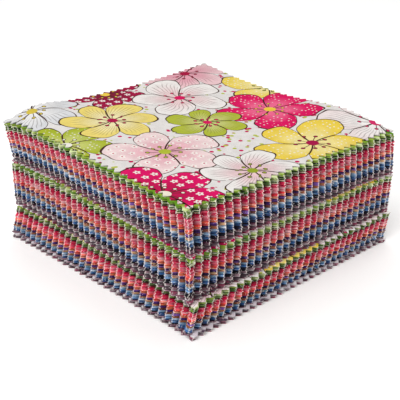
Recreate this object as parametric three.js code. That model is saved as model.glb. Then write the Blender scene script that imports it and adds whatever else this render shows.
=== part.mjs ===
// A bundle of pinked cotton squares: packs of cut squares stacked on each other,
// with a printed square lying loose on top. Millimetres, +Z up.
// The bundle rests on Z = 0 and the middle of its box is over the origin.
// Seen from above, its front corner is at low X and low Y, the left corner at low X
// and high Y, and the right corner at high X and low Y.
import * as THREE from 'three';

const { lerp, degToRad } = THREE.MathUtils;

// The pinked square
const squareSide = 127; // tip to tip
const teethPerSide = 30;
const toothPitch = squareSide / teethPerSide;
const toothDepth = toothPitch / 2; // right-angled points
const half = squareSide / 2;

// The layers
const layerGap = 0.3;
const topSheetThickness = 1;
const clothRoughness = 0.92;

// The packs, the lowest first. top gives the heights of a pack's upper face under its front,
// left and right corners, and how far its left and right corners droop below that face.
// foot and head say how its lowest and highest plies lie.
const packs = [
  {
    name: 'lower_pack',
    plies: 5,
    top: { front: 14.3, left: 16.3, right: 15.5, leftDroop: 0.8, rightDroop: 0 },
    foot: { x: 0.0, y: 1.1, turn: 0 },
    head: { x: 2.2, y: 0.0, turn: 0.2 },
  },
  {
    name: 'middle_pack',
    plies: 6,
    top: { front: 36.0, left: 40.9, right: 35.9, leftDroop: 2.0, rightDroop: 0.3 },
    foot: { x: 1.7, y: 1.4, turn: -0.4 },
    head: { x: 0.1, y: -0.6, turn: 0 },
  },
  {
    name: 'upper_pack',
    plies: 6,
    top: { front: 57.1, left: 61.4, right: 57.1, leftDroop: 2.2, rightDroop: 1.0 },
    foot: { x: 0.9, y: -0.1, turn: -0.3 },
    head: { x: -2.2, y: -1.2, turn: 0.2 },
  },
];
const surface = { front: 0, left: 0, right: 0, leftDroop: 0, rightDroop: 0 };

// A drooping corner bends at folds across it. Each fold joins the two notches that lie this
// many outline points from the corner, and share is the part of the droop that is left there.
const folds = [
  { points: 0, share: 1 },
  { points: 4, share: 0.55 },
  { points: 10, share: 0.18 },
  { points: 16, share: 0 },
];

// Each pack runs through the same colours, from its foot to its head
const bands = [
  { name: 'mauve', colour: 0x8f8494 },
  { name: 'blue', colour: 0x4f78a6 },
  { name: 'purple', colour: 0x6b4468 },
  { name: 'coral', colour: 0xe2705c },
  { name: 'red', colour: 0xcb3557 },
  { name: 'green', colour: 0x6f9440 },
];

// How far a ply strays from the straight line between its pack's foot and head
const stray = { shift: 0.35, turn: 0.12, stepX: 2.4, stepY: 3.7, stepTurn: 1.9 };

// The loose top square: how it lies, and the places where its far edges and its far corner curl up.
// A curl's middle is on the outline, and it dies away along the edge and into the cloth.
const topSheet = { x: -0.7, y: 0.5, turn: 0.4, colour: 0xe9dcd6 };
const curls = [
  { x: -half + 14, y: half, height: 3.2, spread: 20 },
  { x: half, y: -half + 28, height: 3.6, spread: 23 },
  { x: half, y: half, height: 2.6, spread: 32 },
];
const reliefGrid = { cells: 12, inset: 7 };

// The outline of one square, from its left corner round through the front corner:
// each side has its pinked points, and the corner itself is left square.
function pinkedOutline() {
  const points = [];
  const sides = [
    { from: [-half, half], along: [0, -1], inward: [1, 0] },
    { from: [-half, -half], along: [1, 0], inward: [0, 1] },
    { from: [half, -half], along: [0, 1], inward: [-1, 0] },
    { from: [half, half], along: [-1, 0], inward: [0, -1] },
  ];
  for (const { from, along, inward } of sides) {
    const corner = new THREE.Vector2(...from);
    const step = new THREE.Vector2(...along);
    const depth = new THREE.Vector2(...inward);
    points.push(corner);
    for (let tooth = 0; tooth < teethPerSide; tooth += 1) {
      points.push(corner.clone().addScaledVector(step, (tooth + 0.5) * toothPitch));
      if (tooth < teethPerSide - 1) {
        const notch = corner.clone().addScaledVector(step, (tooth + 1) * toothPitch);
        points.push(notch.addScaledVector(depth, toothDepth));
      }
    }
  }
  return points;
}

const outline = pinkedOutline();

// How far a fold runs from its corner, counted along either edge
function foldDistance(fold) {
  return fold.points === 0 ? 0 : ((fold.points + 1) / 2) * toothPitch;
}

// The part of a corner's droop that is left at a distance from it, straight from fold to fold
function droopShare(fromCorner) {
  for (let k = 1; k < folds.length; k += 1) {
    const near = foldDistance(folds[k - 1]);
    const far = foldDistance(folds[k]);
    if (fromCorner < far) {
      return lerp(folds[k - 1].share, folds[k].share, (fromCorner - near) / (far - near));
    }
  }
  return 0;
}

// The height of a level at a point of the square
function levelHeight(level, x, y) {
  const acrossX = (x + half) / squareSide;
  const acrossY = (y + half) / squareSide;
  const flat = level.front + (level.right - level.front) * acrossX + (level.left - level.front) * acrossY;
  const fromLeft = x + half + half - y;
  const fromRight = half - x + y + half;
  return flat - level.leftDroop * droopShare(fromLeft) - level.rightDroop * droopShare(fromRight);
}

function mixLevels(low, high, share) {
  const level = {};
  for (const key of Object.keys(low)) {
    level[key] = lerp(low[key], high[key], share);
  }
  return level;
}

// A closed sheet between two faces that share their points in plan
function sheetGeometry({ points, triangles }, lowAt, highAt) {
  const count = points.length;
  const places = [];
  for (const heightAt of [lowAt, highAt]) {
    for (const { x, y } of points) {
      places.push(x, y, heightAt(x, y));
    }
  }
  const faces = [];
  for (const [a, b, c] of triangles) {
    faces.push(c, b, a);
    faces.push(count + a, count + b, count + c);
  }
  for (let k = 0; k < outline.length; k += 1) {
    const next = (k + 1) % outline.length;
    faces.push(k, next, count + next);
    faces.push(k, count + next, count + k);
  }
  const sheet = new THREE.BufferGeometry();
  sheet.setAttribute('position', new THREE.Float32BufferAttribute(places, 3));
  sheet.setIndex(faces);
  sheet.computeVertexNormals();
  return sheet;
}

// The face of a ply: the flat strips between neighbouring folds, from the left corner
// to the right one, each with its outline points on both sides of the square.
function foldedFace() {
  const count = outline.length;
  const steps = folds.map((fold) => fold.points);
  const stops = [...steps, ...steps.map((step) => count / 2 - step).reverse()];
  const triangles = [];
  for (let k = 1; k < stops.length; k += 1) {
    const strip = [];
    for (let j = stops[k - 1]; j <= stops[k]; j += 1) {
      strip.push(j);
    }
    const mirrored = strip.map((j) => (count - j) % count).filter((j) => !strip.includes(j));
    strip.push(...mirrored.reverse());
    const ring = strip.map((j) => outline[j]);
    for (const corners of THREE.ShapeUtils.triangulateShape(ring, [])) {
      triangles.push(corners.map((j) => strip[j]));
    }
  }
  return { points: outline, triangles };
}

// A ply of cloth between two levels, a gap short of the upper one
function plyGeometry(under, over) {
  const lowAt = (x, y) => levelHeight(under, x, y);
  const highAt = (x, y) => levelHeight(over, x, y) - layerGap;
  return sheetGeometry(foldedFace(), lowAt, highAt);
}

// The height by which the curled edges lift the top square at a point
function curlHeight(x, y) {
  let height = 0;
  for (const curl of curls) {
    const away = Math.hypot(x - curl.x, y - curl.y) / curl.spread;
    height += curl.height * Math.exp(-away * away);
  }
  return height;
}

// One face of the top square: the pinked outline, a grid of points inside it that carries
// the relief, and the triangles over both, seen from above.
function reliefFace() {
  const { cells, inset } = reliefGrid;
  const inner = half - inset;
  const cell = (2 * inner) / cells;
  const at = (column, row) => outline.length + row * (cells + 1) + column;
  const points = [...outline];
  const triangles = [];
  for (let row = 0; row <= cells; row += 1) {
    for (let column = 0; column <= cells; column += 1) {
      points.push(new THREE.Vector2(column * cell - inner, row * cell - inner));
      if (row < cells && column < cells) {
        triangles.push([at(column, row), at(column + 1, row), at(column + 1, row + 1)]);
        triangles.push([at(column, row), at(column + 1, row + 1), at(column, row + 1)]);
      }
    }
  }

  // The grid's border, in the order of the outline
  const border = [];
  for (let i = 0; i < cells; i += 1) {
    border[i] = at(0, cells - i);
    border[cells + i] = at(i, 0);
    border[2 * cells + i] = at(cells, i);
    border[3 * cells + i] = at(cells - i, cells);
  }
  const share = outline.length / border.length;
  border.forEach((from, k) => {
    const to = border[(k + 1) % border.length];
    const first = k * share;
    const turning = first + Math.floor(share / 2);
    for (let j = first; j < first + share; j += 1) {
      triangles.push([j, (j + 1) % outline.length, j < turning ? from : to]);
    }
    triangles.push([turning, to, from]);
  });
  return { points, triangles };
}

// The top square as a thin sheet that follows the pack under it and curls up at its far edges
function topSheetGeometry(level) {
  const lowAt = (x, y) => levelHeight(level, x, y) + curlHeight(x, y);
  const highAt = (x, y) => lowAt(x, y) + topSheetThickness;
  return sheetGeometry(reliefFace(), lowAt, highAt);
}

function layCloth(name, geometry, colour, pose) {
  const material = new THREE.MeshStandardMaterial({ color: colour, roughness: clothRoughness, metalness: 0 });
  const mesh = new THREE.Mesh(geometry, material);
  mesh.name = name;
  mesh.position.set(pose.x, pose.y, 0);
  mesh.rotation.z = degToRad(pose.turn);
  return mesh;
}

// How one ply of a pack lies, from 0 at the foot to 1 at the head
function plyPose({ foot, head }, share, order) {
  return {
    x: lerp(foot.x, head.x, share) + stray.shift * Math.sin(stray.stepX * order),
    y: lerp(foot.y, head.y, share) + stray.shift * Math.sin(stray.stepY * order),
    turn: lerp(foot.turn, head.turn, share) + stray.turn * Math.sin(stray.stepTurn * order),
  };
}

const bundle = new THREE.Group();
let base = surface;
let order = 0;

for (const pack of packs) {
  for (let ply = 0; ply < pack.plies; ply += 1) {
    const under = mixLevels(base, pack.top, ply / pack.plies);
    const over = mixLevels(base, pack.top, (ply + 1) / pack.plies);
    const share = ply / (pack.plies - 1);
    const band = bands[Math.round(share * (bands.length - 1))];
    const pose = plyPose(pack, share, order);
    bundle.add(layCloth(`${pack.name}_ply_${ply + 1}`, plyGeometry(under, over), band.colour, pose));
    order += 1;
  }
  base = pack.top;
}

bundle.add(layCloth('top_square', topSheetGeometry(base), topSheet.colour, topSheet));

// Centre the bundle's box over the origin
bundle.updateMatrixWorld(true);
const middle = new THREE.Box3().setFromObject(bundle, true).getCenter(new THREE.Vector3());
bundle.position.set(-middle.x, -middle.y, 0);

export default bundle;
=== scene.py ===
import math

import bpy
import numpy as np
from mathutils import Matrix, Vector


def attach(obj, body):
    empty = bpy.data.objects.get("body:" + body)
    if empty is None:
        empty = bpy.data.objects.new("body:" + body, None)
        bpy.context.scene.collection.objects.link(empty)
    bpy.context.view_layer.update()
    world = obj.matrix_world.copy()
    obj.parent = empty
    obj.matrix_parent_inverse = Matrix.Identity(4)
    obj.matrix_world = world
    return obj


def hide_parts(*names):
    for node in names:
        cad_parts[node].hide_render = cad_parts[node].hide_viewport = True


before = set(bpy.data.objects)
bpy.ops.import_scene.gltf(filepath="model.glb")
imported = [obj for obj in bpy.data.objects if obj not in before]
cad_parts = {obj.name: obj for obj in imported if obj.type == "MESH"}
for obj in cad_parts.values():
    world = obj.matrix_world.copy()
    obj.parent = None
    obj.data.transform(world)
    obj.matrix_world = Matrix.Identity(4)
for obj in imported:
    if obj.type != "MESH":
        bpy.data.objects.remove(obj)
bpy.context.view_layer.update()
bpy.ops.object.select_all(action="DESELECT")
mm = 0.001
rng = np.random.default_rng(57)
print("frame: nodes", len(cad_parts))


# The pinked square, modelled once

pinkedSquare = {
    "side": 127 * mm,  # tip to tip
    "teeth": 30,  # pinked points along a side
    "areaShare": 0.967,  # what the notches leave of the square
    "fill": 0.94,  # share of its layer that the cloth fills
    "border": 7 * mm,  # strip inside the edge that bends with the points
    "curledBorder": 3.2 * mm,  # the same in a square that curls
    "curledRings": 11,  # rings of faces in a square that curls
    "curledHub": 0.06,  # scale of the innermost of them
}
looseYarn = {
    "ends": 40,  # round the edge of a square
    "radius": 0.06 * mm,
    "root": 0.4 * mm,  # how deep inside the cloth an end starts
    "shortest": 0.4 * mm,
    "longest": 1.5 * mm,
}
half = pinkedSquare["side"] / 2
pitch = pinkedSquare["side"] / pinkedSquare["teeth"]
yarnEnds = looseYarn["ends"]


def pinkedEdge():
    # four points a tooth: notch, flank, tip, flank, from the left corner round by the front
    count = pinkedSquare["teeth"] * 4
    along = np.arange(count) / count * pinkedSquare["side"]
    tip = 1 - abs(np.arange(count) % 4 - 2) / 2
    tipShare = tip.copy()
    tipShare[0] = 1  # the corner frays and takes the painted highlight as a tip does, and no painted notch shade
    tip[[0, 1, -1]] = 1  # and is left square
    corners = half * np.array([[-1, 1], [-1, -1], [1, -1], [1, 1]])
    runs = np.array([[0, -1], [1, 0], [0, 1], [-1, 0]])
    insides = np.array([[1, 0], [0, 1], [-1, 0], [0, -1]])
    straight = np.concatenate([c + along[:, None] * r for c, r in zip(corners, runs)])
    inside, run = (np.repeat(ways, count, axis=0) for ways in (insides, runs))
    return straight, inside, run, np.tile(tip, 4), np.tile(tipShare, 4)


straightEdge, edgeInside, edgeRun, edgeTip, edgeTipShare = pinkedEdge()
edgeCount = len(straightEdge)


def ringFaces(outer, inner):
    here = np.arange(edgeCount)
    after = (here + 1) % edgeCount
    return np.stack([outer + here, outer + after, inner + after, inner + here], axis=1)


def yarnFaces(first):
    # a yarn end is a three-sided stalk of two lengths, closed at both ends
    faces = [[first + 2, first + 1, first], [first + 6, first + 7, first + 8]]
    for length in (0, 3):
        for k in range(3):
            a, b = first + length + k, first + length + (k + 1) % 3
            faces.append([a, b, b + 3, a + 3])
    return faces


def makePinkedMesh(name, scales):
    # rings of the upper face from the edge inwards, the same for the lower face, then the yarn ends
    rings = len(scales) + 1
    lower = rings * edgeCount
    faces = []
    for ring in range(rings - 1):
        here, after = ring * edgeCount, (ring + 1) * edgeCount
        faces.extend(ringFaces(here, after).tolist())
        faces.extend(ringFaces(lower + here, lower + after)[:, ::-1].tolist())
    middle = np.arange(edgeCount) + (rings - 1) * edgeCount
    faces.append(middle.tolist())
    faces.append((middle + lower)[::-1].tolist())
    flat = len(faces)
    faces.extend(ringFaces(lower, 0).tolist())  # the cut edge
    for k in range(yarnEnds):
        faces.extend(yarnFaces(2 * lower + 9 * k))
    mesh = bpy.data.meshes.new(name)
    mesh.from_pydata(np.zeros((2 * lower + 9 * yarnEnds, 3)).tolist(), [], faces)
    cut = np.arange(len(faces)) >= flat
    mesh.attributes.new("cutEdge", "FLOAT", "FACE").data.foreach_set("value", cut.astype(np.float32))
    return mesh


flatScales = [1 - pinkedSquare["border"] / half]
curledOutermost = 1 - pinkedSquare["curledBorder"] / half
curledScales = list(np.linspace(curledOutermost, pinkedSquare["curledHub"], pinkedSquare["curledRings"]))
flatMesh = makePinkedMesh("flatPinkedSquare", flatScales)
curledMesh = makePinkedMesh("curledPinkedSquare", curledScales)
print("pinked square: edge points", edgeCount)


# How the packs lie, read from the plies of the frame

packs = {"lower_pack": 42, "middle_pack": 42, "upper_pack": 41}  # squares in each
plyGap = 0.3 * mm  # air between the plies of the frame
droop = {"reach": 36 * mm, "curve": 1.7}  # how far from a corner it begins to hang, and how sharply


def levelTerms(x, y):
    # what a level is made of: its height, its two slopes, and the droop of its left and right corners
    fromCorners = (x - y + 2 * half, y - x + 2 * half)
    left, right = (np.clip(1 - away / droop["reach"], 0, 1) ** droop["curve"] for away in fromCorners)
    return np.stack([np.ones_like(x), x, y, -left, -right], axis=-1)


def readPly(node):
    # where a ply lies, and the levels of its underside and its upper face
    mesh = node.data
    places = np.array([v.co for v in mesh.vertices])
    x, y = places[:, 0], places[:, 1]
    front, right = places[np.argmin(x + y)], places[np.argmax(x - y)]
    left, back = places[np.argmin(x - y)], places[np.argmax(x + y)]
    centre = (front + right + left + back) / 4
    turn = math.atan2(right[1] - front[1], right[0] - front[0])
    ply = {"x": centre[0], "y": centre[1], "turn": turn, "node": node.name}
    for side, way in (("foot", -1), ("head", 1)):
        rim = sorted({i for face in mesh.polygons if face.normal.z * way > 0.5 for i in face.vertices})
        terms = levelTerms(x[rim] - centre[0], y[rim] - centre[1])
        ply[side] = np.linalg.lstsq(terms, places[rim, 2], rcond=None)[0]
    return ply


plies = {}
for packName in packs:
    nodes = [node for name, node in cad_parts.items() if name.startswith(packName)]
    plies[packName] = sorted((readPly(node) for node in nodes), key=lambda ply: ply["foot"][0])
topPly = readPly(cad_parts["top_square"])
print("packs:", {name: len(rows) for name, rows in plies.items()}, "plies")


# Node helpers


class Wire:
    # a value in a node tree, so that sums read as sums
    def __init__(self, tree, socket):
        self.tree, self.socket = tree, socket

    def math(self, operation, *others):
        node = addNode(self.tree, "ShaderNodeMath", dict(enumerate((self,) + others)), operation=operation)
        return Wire(self.tree, node.outputs[0])

    def __add__(self, other):
        return self.math("ADD", other)

    def __mul__(self, other):
        return self.math("MULTIPLY", other)

    def __sub__(self, other):
        return self.math("SUBTRACT", other)

    def __rsub__(self, other):
        return self.math("MULTIPLY_ADD", -1.0, other)

    def __truediv__(self, other):
        return self.math("DIVIDE", other)

    def __pow__(self, other):
        return self.math("POWER", other)

    def __abs__(self):
        return self.math("ABSOLUTE")

    def under(self, limit, blur):
        # 1 below the limit and 0 above it, soft over the blur
        span = {"Value": self - limit, "From Min": -blur, "From Max": blur, "To Min": 1.0, "To Max": 0.0}
        node = addNode(self.tree, "ShaderNodeMapRange", span, interpolation_type="SMOOTHSTEP")
        return Wire(self.tree, node.outputs[0])

    def over(self, limit, blur):
        return 1 - self.under(limit, blur)


def addNode(tree, kind, inputs=None, **settings):
    node = tree.nodes.new(kind)
    for name, value in settings.items():
        setattr(node, name, value)
    for key, value in (inputs or {}).items():
        plug(tree, node.inputs[key], value)
    return node


def plug(tree, socket, value):
    if isinstance(value, Wire):
        tree.links.new(value.socket, socket)
    else:
        socket.default_value = value


def dye(code):
    # a colour as a screen shows it, to the linear one that the shader takes
    parts = [int(code[i : i + 2], 16) / 255 for i in (0, 2, 4)]
    return tuple(c / 12.92 if c < 0.04045 else ((c + 0.055) / 1.055) ** 2.4 for c in parts) + (1.0,)


def paint(share, below, above):
    tree = share.tree
    node = addNode(tree, "ShaderNodeMix", {0: share, 6: below, 7: above}, data_type="RGBA")
    return Wire(tree, node.outputs[2])


def attribute(tree, name):
    return Wire(tree, addNode(tree, "ShaderNodeAttribute", attribute_name=name).outputs["Fac"])


def clothPlace(tree):
    # the place on the cut cloth in millimetres, from its middle
    uv = addNode(tree, "ShaderNodeUVMap", uv_map="cloth")
    size = pinkedSquare["side"] / mm
    spread = addNode(tree, "ShaderNodeMapping", {"Scale": (size, size, 1), "Location": (-size / 2, -size / 2, 0)})
    tree.links.new(uv.outputs[0], spread.inputs["Vector"])
    return Wire(tree, spread.outputs[0])


def parted(place):
    node = addNode(place.tree, "ShaderNodeSeparateXYZ", {0: place})
    return Wire(place.tree, node.outputs[0]), Wire(place.tree, node.outputs[1])


def joined(x, y, z=0.0):
    tree = x.tree
    return Wire(tree, addNode(tree, "ShaderNodeCombineXYZ", {0: x, 1: y, 2: z}).outputs[0])


def noise(place, scale, detail=2.0):
    node = addNode(place.tree, "ShaderNodeTexNoise", {"Vector": place, "Scale": scale, "Detail": detail})
    return Wire(place.tree, node.outputs["Fac"])


def cells(place, scale, output="Distance", randomness=1.0):
    inputs = {"Vector": place, "Scale": scale, "Randomness": randomness}
    node = addNode(place.tree, "ShaderNodeTexVoronoi", inputs)
    return Wire(place.tree, node.outputs[output])


# Cotton: one cloth for every print

cotton = {
    "thread": 0.34,  # mm from thread to thread
    "rawYarnAndHighlight": dye("efe6e2"),  # undyed yarn at the cut edges and on the back, and the painted highlight at the tips
    "saturation": 1.07,  # how strong the dyes come out
    "edgeTipShare": 0.08,  # share of raw yarn along the cut and on the back
    "tipFrayAndHighlight": 0.58,  # and at the tips of the points, where it is partly a painted highlight
    "mostRaw": 0.85,
    "notchShade": 0.72,  # how dark the painted shade in the notches is
    "layerShade": 0.45,  # and the painted shade on the lines between the layers
    "weaveHeight": 0.06 * mm,
    "roughness": 0.92,
    "sheen": 0.03,
    "sheenRoughness": 0.5,
    "specular": 0.08,
}


def startCloth(name):
    material = bpy.data.materials.new(name)
    material.use_nodes = True
    tree = material.node_tree
    shader = tree.nodes["Principled BSDF"]
    shader.inputs["Roughness"].default_value = cotton["roughness"]
    shader.inputs["Sheen Weight"].default_value = cotton["sheen"]
    shader.inputs["Sheen Roughness"].default_value = cotton["sheenRoughness"]
    shader.inputs["Specular IOR Level"].default_value = cotton["specular"]
    return material, tree, shader


def finishCloth(tree, shader, place, colour, rawShare, tone):
    # yarn shades, raw yarn at the cut with a painted highlight at its tips, paler back, painted shade, and the plain
    # weave
    x, y = parted(place)
    cut, tip, under = (attribute(tree, name) for name in ("cutEdge", "tip", "under"))
    fibre = noise(place, 1.9, 3.0)
    loose = cut * fibre.over(0.55, 0.12) + under.over(0.62, 0.12)
    # raw yarn at the tips of the points is partly a painted highlight
    rawYarnAndHighlight = loose * (cotton["edgeTipShare"] * rawShare) + tip.over(0.87, 0.05) * (cut * cotton["tipFrayAndHighlight"] + 0.1)
    colour = paint(rawYarnAndHighlight.math("MINIMUM", cotton["mostRaw"]), colour, cotton["rawYarnAndHighlight"])

    # painted shade: darker in the notches and between the layers, where shade falls
    rim = abs(under - 0.5) * 2
    paintedShade = cut * ((1 - tip).math("MAXIMUM", 0.0) * cotton["notchShade"] + rim**4 * cotton["layerShade"])
    toneAndPaintedShade = (fibre * 0.45 + noise(place, 0.22) * 0.3 + 0.62) * (1 - paintedShade) * tone
    given = {"Color": colour, "Value": toneAndPaintedShade, "Saturation": cotton["saturation"]}
    shaded = addNode(tree, "ShaderNodeHueSaturation", given)
    tree.links.new(shaded.outputs[0], shader.inputs["Base Color"])

    turns = 2 * math.pi / cotton["thread"]
    weave = (x * turns).math("SINE") * (y * turns).math("SINE")
    height = weave * 0.4 + fibre * 0.8
    bump = addNode(tree, "ShaderNodeBump", {"Strength": 0.5, "Distance": cotton["weaveHeight"], "Height": height})
    tree.links.new(bump.outputs[0], shader.inputs["Normal"])


# The run of prints under the floral one, from a pack's head to its foot.
# dyes are those of the ground, the motifs and the accents, and size is the spread of the motifs in mm
prints = [
    {"name": "limeLeaf", "squares": 2, "slot": "green_cotton", "dyes": ("8aa242", "cbd8a0", "5f8a2c"), "size": 8},
    {"name": "fernShade", "squares": 1, "slot": "green_cotton", "dyes": ("1b3412", "8f9e66", "101f0b"), "size": 9},
    {"name": "sageStripe", "squares": 1, "slot": "green_cotton", "dyes": ("8fa868", "dde0c0", "4c7a30"), "size": 7},
    {"name": "grassDot", "squares": 1, "slot": "green_cotton", "dyes": ("2f5c18", "7fa848", "1d3c0e"), "size": 6},
    {"name": "oatTan", "squares": 1, "slot": "red_cotton", "dyes": ("a88a70", "dcc9ae", "5c3428"), "size": 7},
    {"name": "barkDot", "squares": 1, "slot": "red_cotton", "dyes": ("2c0d0e", "6a2a2c", "18080b"), "size": 7},
    {"name": "cherry", "squares": 3, "slot": "red_cotton", "dyes": ("d0264e", "ed6c84", "ac163b"), "size": 9},
    {"name": "raspberry", "squares": 2, "slot": "red_cotton", "dyes": ("e04265", "f4a0ad", "c2264f"), "size": 7},
    {"name": "rosePetal", "squares": 3, "slot": "red_cotton", "dyes": ("ef7488", "fabfc5", "e14c66"), "size": 9},
    {"name": "coralBloom", "squares": 2, "slot": "coral_cotton", "dyes": ("e46152", "f5a08b", "e04450"), "size": 9},
    {"name": "tangerine", "squares": 2, "slot": "coral_cotton", "dyes": ("dc7858", "ecb298", "d94e55"), "size": 8},
    {"name": "plum", "squares": 3, "slot": "purple_cotton", "dyes": ("402060", "8660ae", "28103a"), "size": 8},
    {"name": "saddleTan", "squares": 3, "slot": "purple_cotton", "dyes": ("9d6046", "cfa680", "63302a"), "size": 8},
    {"name": "skySprig", "squares": 2, "slot": "blue_cotton", "dyes": ("8ba7c6", "d2dde8", "6b93a6"), "size": 7},
    {"name": "cornflower", "squares": 3, "slot": "blue_cotton", "dyes": ("3f699e", "82a8d0", "294878"), "size": 7},
    {"name": "navyDot", "squares": 3, "slot": "blue_cotton", "dyes": ("12142a", "4a5c8c", "0c0d1c"), "size": 7},
    {"name": "inkVine", "squares": 1, "slot": "blue_cotton", "dyes": ("140f18", "5a2440", "0b090e"), "size": 9},
    {"name": "heather", "squares": 2, "slot": "mauve_cotton", "dyes": ("7d5d6a", "a38690", "4e2f3c"), "size": 8},
    {"name": "paleLilac", "squares": 2, "slot": "mauve_cotton", "dyes": ("e6dde4", "f6f1f4", "5a4658"), "size": 5},
    {"name": "dustyGrey", "squares": 2, "slot": "mauve_cotton", "dyes": ("604f58", "8e8088", "a85c74"), "size": 9},
    {"name": "wineVine", "squares": 1, "slot": "mauve_cotton", "dyes": ("844a60", "b48a9c", "8a1a3c"), "size": 22},
]
printing = {
    "lotStep": 90.0,  # each square shows another part of its print
    "motif": 0.4,  # how large the motifs are for their spread
    "accent": 0.55,  # more gives fewer accents
    "darkest": 0.78,  # no two squares take the dye alike
    "toneSpan": 0.6,
}


def printedCotton(row):
    material, tree, shader = startCloth(row["name"] + "Cotton")
    ground, motifs, accents = (dye(code) for code in row["dyes"])
    place = clothPlace(tree)
    x, y = parted(place)
    lot = attribute(tree, "lot")
    spot = joined(x, y, lot * printing["lotStep"])
    motif = cells(spot, 1 / row["size"]).under(printing["motif"], 0.1)
    accent = noise(spot, 0.8 / row["size"]).over(printing["accent"], 0.05)
    colour = paint(motif, paint(accent, ground, accents), motifs)
    tone = lot.math("FRACT") * printing["toneSpan"] + printing["darkest"]
    rawShare = min(1.0, 0.25 + 2.5 * sum(ground[:3]) / 3)  # dark dyes go right through the yarn
    finishCloth(tree, shader, place, colour, rawShare, tone)
    return material


# The floral print of a pack's head square: flowers drawn in thin brown lines.
# at is a flower's place from the middle of the cloth and size its radius, in mm,
# and dyes are those of its petals, of their foot and of its heart
flowers = [
    {"at": (-52, 58), "size": 24, "petals": 5, "turn": 10, "dyes": ("dfe0e2", "f1f0ef", "d9c35c"), "fill": "veined"},
    {"at": (44, 58), "size": 25, "petals": 6, "turn": 30, "dyes": ("f0cdd0", "e8a9b6", "a8123f"), "fill": "veined"},
    {"at": (-8, 60), "size": 22, "petals": 5, "turn": 0, "dyes": ("a51544", "8a0f38", "efd163"), "fill": "bloomed"},
    {"at": (64, 16), "size": 24, "petals": 5, "turn": 50, "dyes": ("f0d76c", "f6e7a6", "8c9a30"), "fill": "dotted"},
    {"at": (-62, 16), "size": 23, "petals": 5, "turn": 70, "dyes": ("aeba43", "c9cf7a", "f3efe4"), "fill": "dotted"},
    {"at": (18, 33), "size": 25, "petals": 5, "turn": 15, "dyes": ("f3eeea", "efd3d3", "d92a63"), "fill": "veined"},
    {"at": (-28, 28), "size": 23, "petals": 6, "turn": 42, "dyes": ("f1dc82", "f6ebba", "b1184a"), "fill": "veined"},
    {"at": (40, -8), "size": 27, "petals": 5, "turn": 5, "dyes": ("de1f60", "f2799b", "f0d05a"), "fill": "dotted"},
    {"at": (-34, -16), "size": 25, "petals": 5, "turn": 22, "dyes": ("f3dcdb", "eab3bd", "b3bc48"), "fill": "bloomed"},
    {"at": (4, -2), "size": 19, "petals": 6, "turn": 12, "dyes": ("b4bd4b", "d3d689", "d92a63"), "fill": "veined"},
    {"at": (62, -54), "size": 27, "petals": 5, "turn": 33, "dyes": ("f0e3e1", "f7f3f0", "d84a74"), "fill": "veined"},
    {"at": (-62, -48), "size": 26, "petals": 5, "turn": 8, "dyes": ("e0286a", "c01450", "f4ecd8"), "fill": "bloomed"},
    {"at": (22, -50), "size": 26, "petals": 5, "turn": 64, "dyes": ("f0d462", "f5e6a2", "a9174a"), "fill": "dotted"},
    {"at": (-20, -54), "size": 21, "petals": 6, "turn": 40, "dyes": ("f2eeea", "eecdd0", "98a53a"), "fill": "veined"},
]
florals = {
    "ground": "e7e3e0",
    "line": "43261f",
    "pale": "f7f1ea",
    "lineWidth": 0.38,  # half the width of a drawn line, mm
    "berries": "c92f60",
    "leaf": "b9c15c",
    "lobe": 0.44,  # how deep the clefts between petals go
    "swirl": 0.35,  # how far the petals lap over each other
    "wobble": 6,  # how uneven their edges are, mm
    "veins": 9,  # in a petal
    "veinWobble": 3,
    "stamens": 9,
    "lotStep": 300.0,  # mm of print from lot to lot
    "brightness": 0.82,
    "paintedLightByLot": 4.0,  # painted light: how much brighter the head squares inside the bundle are, by lot
}


def groupWires(tree):
    source = tree.nodes.new("NodeGroupInput")
    return {socket.name: Wire(tree, socket) for socket in source.outputs if socket.name}


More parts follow.
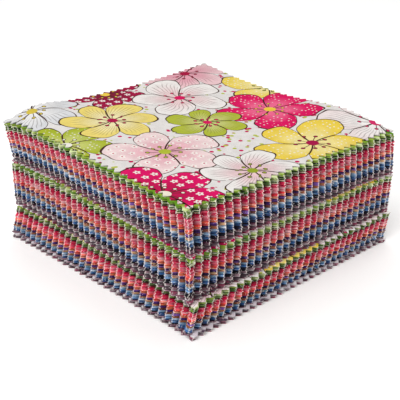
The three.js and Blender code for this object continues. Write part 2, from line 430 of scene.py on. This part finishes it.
def makeFlowerGroup():
    # one flower drawn over what is below it, with every petal a little different
    tree = bpy.data.node_groups.new("printedFlower", "ShaderNodeTree")
    for name in ("below", "petal", "tint", "heart"):
        tree.interface.new_socket(name, in_out="INPUT", socket_type="NodeSocketColor")
    for name in ("placeX", "placeY", "wobble", "dots", "blooms", "eyes"):
        tree.interface.new_socket(name, in_out="INPUT", socket_type="NodeSocketFloat")
    for name in ("x", "y", "radius", "petals", "turn", "seed", "dotted", "bloomed", "veined"):
        tree.interface.new_socket(name, in_out="INPUT", socket_type="NodeSocketFloat")
    tree.interface.new_socket("colour", in_out="OUTPUT", socket_type="NodeSocketColor")
    given = groupWires(tree)
    radius, petals, wobble = given["radius"], given["petals"], given["wobble"]
    width, ink, pale = florals["lineWidth"], dye(florals["line"]), dye(florals["pale"])

    across, along = given["placeX"] - given["x"], given["placeY"] - given["y"]
    away = (across * across + along * along).math("SQRT") + 0.001
    angle = along.math("ARCTAN2", across) + away / radius * florals["swirl"] + given["turn"]
    count = angle * petals / (2 * math.pi)
    lobe = (count.math("FLOOR") * 2.4 + given["seed"]).math("SINE")
    side = abs(count.math("FRACT") - 0.5) * 2  # 0 along the middle of a petal, 1 where two meet
    edge = (1 - side**2.4 * florals["lobe"] + lobe * 0.07) * radius + wobble * florals["wobble"]
    out = away / edge
    outer = out.over(0.36, 0.05)

    colour = paint(out.under(0.55, 0.35), given["petal"], given["tint"])
    colour = paint(given["dots"] * given["dotted"] * outer, colour, pale)
    colour = paint(given["blooms"] * given["bloomed"] * outer, colour, pale)
    colour = paint(given["eyes"] * given["bloomed"] * outer, colour, dye(florals["berries"]))
    vein = abs((count * florals["veins"] + wobble * florals["veinWobble"]).math("FRACT") - 0.5).under(0.1, 0.06)
    colour = paint(vein * given["veined"] * out.over(0.3, 0.1) * out.under(0.8, 0.1) * 0.5, colour, ink)

    # stamens round the heart
    spoke = (angle * (florals["stamens"] / (2 * math.pi))).math("FRACT") - 0.5
    beside = away * spoke * (2 * math.pi / florals["stamens"])
    reach = away - radius * 0.27 - lobe
    inner = away.over(radius * 0.11, 0.1)
    stalk = abs(beside).under(0.2, 0.06) * inner * reach.under(0.0, 0.1)
    knob = (beside * beside + reach * reach).math("SQRT")
    seam = (away * (1 - side) * math.pi / petals).under(width, 0.06) * inner
    colour = paint((seam + stalk + knob.under(1.0, 0.06)).math("MINIMUM", 1.0), colour, ink)
    colour = paint((knob.under(0.66, 0.06) + 1 - inner).math("MINIMUM", 1.0), colour, given["heart"])

    colour = paint(away.under(edge, 0.05), given["below"], colour)
    colour = paint(abs(away - edge).under(width, 0.06), colour, ink)
    sink = tree.nodes.new("NodeGroupOutput")
    tree.links.new(colour.socket, sink.inputs["colour"])
    return tree


def tinyBlooms(place):
    # five-petalled flowers in loose rows, and their eyes
    middleX, middleY = parted(cells(place, 0.19, "Position", 0.3))
    x, y = parted(place)
    across, along = x - middleX, y - middleY
    away = (across * across + along * along).math("SQRT")
    lobes = (along.math("ARCTAN2", across) * 5).math("COSINE")
    return away.under(lobes * 0.35 + 1.35, 0.08), away.under(0.45, 0.06)


def floralCotton():
    material, tree, shader = startCloth("floralCotton")
    x, y = parted(clothPlace(tree))
    lot = attribute(tree, "lot")
    x = x + lot * florals["lotStep"]  # the lower packs show another part of the print
    place = joined(x, y)
    wobble = noise(place, 0.085, 1.0) - 0.5
    dots = cells(place, 0.42, randomness=0.35).under(0.2, 0.03) * 0.9
    blooms, eyes = tinyBlooms(place)

    # berries and seeds scattered on the ground between the flowers
    colour = paint(cells(place, 0.24).under(0.24, 0.03), dye(florals["ground"]), dye(florals["berries"]))
    colour = paint(cells(joined(x + 31.0, y + 17.0), 0.2).under(0.2, 0.03), colour, dye(florals["leaf"]))
    flower = makeFlowerGroup()
    for seed, row in enumerate(flowers):
        given = dict(zip(("petal", "tint", "heart"), map(dye, row["dyes"])))
        given.update(zip(("x", "y"), row["at"]))
        given.update(below=colour, placeX=x, placeY=y, wobble=wobble, dots=dots, blooms=blooms, eyes=eyes)
        given.update(radius=row["size"], petals=row["petals"], seed=seed)
        given["turn"] = math.radians(row["turn"]) + 20 * math.pi  # whole turns keep the petals' count above 0
        given.update({fill: float(row["fill"] == fill) for fill in ("dotted", "bloomed", "veined")})
        node = addNode(tree, "ShaderNodeGroup", given, node_tree=flower)
        colour = Wire(tree, node.outputs["colour"])
    # painted light: the head squares inside the bundle are painted brighter by their lot
    tone = abs(lot) * florals["paintedLightByLot"] + florals["brightness"]
    finishCloth(tree, shader, place, colour, 0.8, tone)
    return material


# Lay the squares

lie = {
    "shift": 0.13 * mm,  # how far a square strays in its pack
    "turn": 0.05,  # degrees
    "pointBend": 0.07 * mm,  # how far single points bend up or down
    "pointLength": 0.11 * mm,
    "tipTrim": 0.08 * mm,  # how far inside the square the tips end
    "air": 0.03 * mm,  # between two squares
    "thinnest": 0.12 * mm,
    "wave": 0.2 * mm,  # slow swell of the layers along their edges
    "waveX": 9 * mm,
    "waveY": 11 * mm,
    "ripple": 6 * mm,
    "rippleShare": 0.6,
    "levelSquares": 20,  # it fades out over the lowest of them
}
farCurls = [
    {"x": -half + 14 * mm, "y": half, "height": 3.2 * mm, "reach": 20 * mm},
    {"x": half, "y": -half + 28 * mm, "height": 3.6 * mm, "reach": 23 * mm},
    {"x": half, "y": half, "height": 2.6 * mm, "reach": 32 * mm},
]
curled = {"fade": 3, "squares": 12}  # the squares under the top one follow its curls less and less

# Layers that are thinner or thicker than the rest of their pack
layers = [
    {"pack": "lower_pack", "first": 6, "last": 11, "share": 0.4},
    {"pack": "middle_pack", "first": 1, "last": 7, "share": 1.15},
    {"pack": "upper_pack", "first": 1, "last": 7, "share": 0.85},
]
leftFlop = {"drop": 1.8 * mm, "reach": 11 * mm, "squares": 12, "lap": 1.0 * mm}  # the corner that hangs over
leftFlare = {"out": 2.1 * mm, "reach": 42 * mm, "squares": 55}  # the low squares spread at that corner

# Squares that were put down askew: their place in the pack from its foot, and how far they lie off it, mm and degrees
askew = [
    {"pack": "lower_pack", "first": 1, "last": 2, "x": -0.2, "y": -1.6, "turn": 0.8},
    {"pack": "lower_pack", "first": 3, "last": 5, "x": -0.1, "y": -1.7, "turn": 0.7},
    {"pack": "lower_pack", "first": 6, "last": 7, "x": -0.5, "y": -0.2, "turn": 0.2},
    {"pack": "lower_pack", "first": 42, "last": 42, "x": 0.2, "y": -0.2, "turn": -0.5},
    {"pack": "middle_pack", "first": 4, "last": 5, "x": 0.9, "y": 0.9, "turn": 0.0},
    {"pack": "middle_pack", "first": 42, "last": 42, "x": 0.8, "y": 0.0, "turn": -0.2},
    {"pack": "upper_pack", "first": 1, "last": 1, "x": -0.6, "y": 0.3, "turn": 0.0},
    {"pack": "upper_pack", "first": 4, "last": 5, "x": 0.9, "y": 0.9, "turn": -0.1},
    {"pack": "top_square", "first": 1, "last": 1, "x": -0.5, "y": -0.7, "turn": 0.0},
]


def clothHeight(x, y, square):
    # the underside of a square at places of the frame
    height = levelTerms(x - square["x"], y - square["y"]) @ square["level"]
    x, y = x - topPly["x"], y - topPly["y"]  # the curls and the flop belong to the top square
    for curl in farCurls:
        away = np.hypot(x - curl["x"], y - curl["y"]) / curl["reach"]
        height = height + curl["height"] * np.exp(-(away**2) - square["fromTop"] / curled["fade"])
    away = np.hypot(x + half, y - half) / leftFlop["reach"]
    height = height - leftFlop["drop"] * np.exp(-(away**2) - square["fromTop"] / leftFlop["squares"])
    order = square["order"]
    swell = np.sin(x / lie["waveX"] + order * 0.05 + 1.0) * np.sin(y / lie["waveY"] - order * 0.04)
    swell = swell + lie["rippleShare"] * np.sin((x - y) / lie["ripple"] + order * 0.11)
    return np.maximum(height + lie["wave"] * swell * min(order / lie["levelSquares"], 1), 0)


def yarnPlaces(edge, height):
    # each yarn end starts inside the edge, comes out at a point and bends once
    roots = rng.integers(0, edgeCount // 4, yarnEnds) * 4 + rng.integers(1, 4, yarnEnds)
    start = np.column_stack([edge[roots], height[roots]])
    spread = rng.normal(0, 1, (yarnEnds, 4))
    out = np.column_stack([edgeRun[roots] * spread[:, :1] * 0.6 - edgeInside[roots], spread[:, 1] * 0.3])
    bent = out + np.column_stack([edgeRun[roots] * spread[:, 2:3] * 0.7, spread[:, 3] * 0.4 - 0.2])
    out, bent = (v / np.linalg.norm(v, axis=1)[:, None] for v in (out, bent))
    length = rng.uniform(looseYarn["shortest"], looseYarn["longest"], yarnEnds)[:, None]
    knee = start + out * length * 0.5
    knots = np.stack([start - out * looseYarn["root"], knee, knee + bent * length * 0.5])
    across = np.cross(out, [0, 0, 1])
    across = across / np.linalg.norm(across, axis=1)[:, None]
    up = np.cross(out, across)
    turns = np.arange(3) * 2 * math.pi / 3
    ring = np.cos(turns)[:, None, None] * across + np.sin(turns)[:, None, None] * up
    places = knots[:, None] + ring[None] * looseYarn["radius"]  # knot, corner, yarn
    places = places.transpose(2, 0, 1, 3).reshape(-1, 3)
    places[:, 2] = np.maximum(places[:, 2], 0)
    return places, np.repeat(edge[roots], 9, axis=0)


def cutPlan(square):
    # the points of a square in plan, ring by ring from its edge, with every pinked point a little different
    tooth = np.arange(edgeCount) // 4
    length, lean = rng.normal(0, lie["pointLength"], (2, edgeCount // 4))[:, tooth]
    bend = rng.normal(0, lie["pointBend"], edgeCount // 4)[tooth] * edgeTip
    depth = (1 - edgeTip) * pitch / 2 + edgeTip * (lie["tipTrim"] - length)
    edge = straightEdge + edgeInside * depth[:, None] + edgeRun * (edgeTip * lean)[:, None]
    plan = np.concatenate([edge] + [straightEdge * scale for scale in square["scales"]])

    # the left corner is drawn outwards
    fromLeft = np.hypot(plan[:, 0] + half, plan[:, 1] - half)
    fromFloor = square["order"] / leftFlare["squares"]
    out = leftFlare["out"] * np.exp(-((fromLeft / leftFlare["reach"]) ** 2) - fromFloor**2)
    if square["fromTop"] == 0:
        out = leftFlop["lap"] * np.exp(-((fromLeft / leftFlop["reach"]) ** 2))
    return plan + out[:, None] * np.array([-0.7, 0.7]), bend


def markCloth(mesh, marks, flat):
    # the attributes and the map that the cottons read
    for name, values in marks.items():
        mesh.attributes.new(name, "FLOAT", "POINT").data.foreach_set("value", values.astype(np.float32))
    corners = np.empty(len(mesh.loops), dtype=np.int32)
    mesh.loops.foreach_get("vertex_index", corners)
    spots = flat[corners] / pinkedSquare["side"] + 0.5
    mesh.uv_layers.new(name="cloth").data.foreach_set("uv", spots.astype(np.float32).ravel())


def laySquare(square, above):
    plan, bend = cutPlan(square)
    x, y = plan.T + np.array([[square["x"]], [square["y"]]])
    low = clothHeight(x, y, square)
    high = low + square["thickness"]
    if above:
        high = np.clip(clothHeight(x, y, above) - lie["air"], low + lie["thinnest"], high)
    low[:edgeCount] = np.maximum(low[:edgeCount] + bend, 0)
    high[:edgeCount] = high[:edgeCount] + bend
    yarn, yarnRoot = yarnPlaces(plan[:edgeCount], (low[:edgeCount] + high[:edgeCount]) / 2)
    local = np.concatenate([np.column_stack([plan, high]), np.column_stack([plan, low]), yarn])
    cos, sin = math.cos(square["turn"]), math.sin(square["turn"])
    places = local.copy()
    places[:, 0] = local[:, 0] * cos - local[:, 1] * sin + square["x"]
    places[:, 1] = local[:, 0] * sin + local[:, 1] * cos + square["y"]

    mesh = square["mesh"].copy()
    mesh.name = square["name"]
    mesh.vertices.foreach_set("co", places.astype(np.float32).ravel())
    tips = np.zeros(len(plan))
    tips[:edgeCount] = edgeTipShare
    marks = {
        "tip": np.concatenate([tips, tips, np.ones(len(yarn))]),
        "under": np.repeat([0.0, 1.0, 0.4], [len(plan), len(plan), len(yarn)]),
        "lot": np.full(len(places), square["lot"]),
    }
    markCloth(mesh, marks, np.concatenate([plan, plan, yarnRoot]))
    mesh.update()
    piece = bpy.data.objects.new(square["name"], mesh)
    bpy.context.scene.collection.objects.link(piece)
    return piece


def declare(piece, square):
    piece.data.materials.append(square["cloth"])
    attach(piece, "root")
    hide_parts(square["node"])


def putDown(packName, number, pose):
    # a pose with its chance stray, and what the table of askew squares adds
    pose = {"x": pose["x"], "y": pose["y"], "turn": pose["turn"]}
    pose["x"] += rng.normal(0, lie["shift"])
    pose["y"] += rng.normal(0, lie["shift"])
    pose["turn"] += math.radians(rng.normal(0, lie["turn"]))
    for row in askew:
        if row["pack"] == packName and row["first"] <= number <= row["last"]:
            pose["x"] += row["x"] * mm
            pose["y"] += row["y"] * mm
            pose["turn"] += math.radians(row["turn"])
    return pose


floral = floralCotton()
run = [{"slot": "floral_cotton", "cloth": floral}]
for row in prints:
    run.extend([{"slot": row["slot"], "cloth": printedCotton(row)}] * row["squares"])
print("prints:", len(prints) + 1, "squares in a run:", len(run))

floralLots = {"lower_pack": 0.1, "middle_pack": -0.03}  # which part of the floral print a head square shows, and by florals' painted light how much brighter it is
squares = []
total = sum(packs.values())
for packName, count in packs.items():
    rows = plies[packName]
    levels = np.array([row["foot"] for row in rows] + [rows[-1]["head"]])
    levels[-1, 0] += plyGap
    thickness = (levels[-1, 0] - levels[0, 0]) * pinkedSquare["fill"]
    weights = rng.uniform(0.8, 1.2, count)
    for row in layers:
        if row["pack"] == packName:
            weights[row["first"] - 1 : row["last"]] *= row["share"]
    shares = np.append(0, np.cumsum(weights)) / weights.sum()
    middles = np.arange(len(rows)) + 0.5
    lean = {key: np.polyfit(middles, [row[key] for row in rows], 1) for key in ("x", "y", "turn")}
    for number in range(1, count + 1):
        place = shares[number - 1] * len(rows)
        square = putDown(packName, number, {key: np.polyval(fit, place) for key, fit in lean.items()})
        square.update(run[len(run) - number])
        square["level"] = np.array([np.interp(place, np.arange(len(levels)), column) for column in levels.T])
        square.update(name=f"{packName}_square_{number}", node=rows[int(place)]["node"])
        square.update(mesh=flatMesh, scales=flatScales)
        square.update(order=len(squares), fromTop=total - len(squares), lot=1 + rng.random())
        if square["fromTop"] <= curled["squares"]:
            square.update(mesh=curledMesh, scales=curledScales)
        if square["cloth"] == floral:
            square["lot"] = floralLots[packName]
        square["thickness"] = thickness * (shares[number] - shares[number - 1])
        squares.append(square)
square = putDown("top_square", 1, topPly)
square.update(run[0], level=levels[-1], thickness=thickness / count)
square.update(name="floral_square", node="top_square", mesh=curledMesh, scales=curledScales)
square.update(order=total, fromTop=0, lot=0.0)
squares.append(square)

below = None
for square, above in zip(squares, squares[1:] + [None]):
    piece = laySquare(square, above)
    declare(piece, square)
    below = piece
topPiece = below
bpy.ops.object.select_all(action="DESELECT")
topPiece.select_set(True)
bpy.context.view_layer.objects.active = topPiece
bpy.ops.object.shade_smooth_by_angle(angle=math.radians(40))
print("squares laid:", len(squares))


# Studio

studio = {
    "floor": dye("fdfdfc"),
    "floorShade": dye("f6f5f4"),
    "floorGlow": 0.12,  # the backlit sweep of a photo studio
    "sky": 0.44,
    "lit": (0, 0, 0.03),  # where the softboxes point
    "target": Vector((-0.19, -0.21, 23.5)) * mm,
    "distance": 404.8 * mm,
    "azimuth": 227.56,
    "elevation": 23.61,
    "lens": 76.05,
    "shift": (0.0004, -0.0133),
}
softboxes = [
    {"name": "keySoftbox", "place": (-0.82, -0.34, 1.15), "size": 0.9, "power": 14.6},
    {"name": "fillSoftbox", "place": (0.5, 0.45, 1.2), "size": 1.1, "power": 5.4},
]


def makeFloor():
    bpy.ops.object.select_all(action="DESELECT")
    bpy.ops.mesh.primitive_plane_add(size=6, location=(0, 0, 0))
    floor = bpy.context.object
    floor.name = "studioFloor"
    material = bpy.data.materials.new("paleFloor")
    material.use_nodes = True
    tree = material.node_tree
    shader = tree.nodes["Principled BSDF"]
    coordinate = addNode(tree, "ShaderNodeTexCoord")
    cloud = noise(Wire(tree, coordinate.outputs["Object"]), 3.0)
    tone = paint(cloud, studio["floor"], studio["floorShade"])
    tree.links.new(tone.socket, shader.inputs["Base Color"])
    shader.inputs["Roughness"].default_value = 0.9
    shader.inputs["Emission Color"].default_value = studio["floor"]
    shader.inputs["Emission Strength"].default_value = studio["floorGlow"]
    floor.data.materials.append(material)


def addSoftbox(row):
    lamp = bpy.data.lights.new(row["name"], "AREA")
    lamp.shape, lamp.size, lamp.energy = "SQUARE", row["size"], row["power"]
    holder = bpy.data.objects.new(row["name"], lamp)
    holder.location = row["place"]
    holder.rotation_euler = (Vector(studio["lit"]) - Vector(row["place"])).to_track_quat("-Z", "Y").to_euler()
    bpy.context.scene.collection.objects.link(holder)


def aimCamera():
    a, e = math.radians(studio["azimuth"]), math.radians(studio["elevation"])
    back = Vector((math.cos(a) * math.cos(e), math.sin(a) * math.cos(e), math.sin(e)))
    lens = bpy.data.cameras.new("studioCamera")
    lens.lens, lens.sensor_width = studio["lens"], 36
    lens.shift_x, lens.shift_y = studio["shift"]
    lens.clip_start, lens.clip_end = 0.01, 20
    camera = bpy.data.objects.new("studioCamera", lens)
    camera.location = studio["target"] + back * studio["distance"]
    camera.rotation_euler = back.to_track_quat("Z", "Y").to_euler()
    bpy.context.scene.collection.objects.link(camera)
    bpy.context.scene.camera = camera


makeFloor()
for row in softboxes:
    addSoftbox(row)
world = bpy.data.worlds.new("studioSky")
world.use_nodes = True
world.node_tree.nodes["Background"].inputs["Color"].default_value = (1, 1, 1, 1)
world.node_tree.nodes["Background"].inputs["Strength"].default_value = studio["sky"]
bpy.context.scene.world = world
bpy.context.scene.view_settings.view_transform = "Standard"
aimCamera()
print("studio: floor, softboxes and camera")
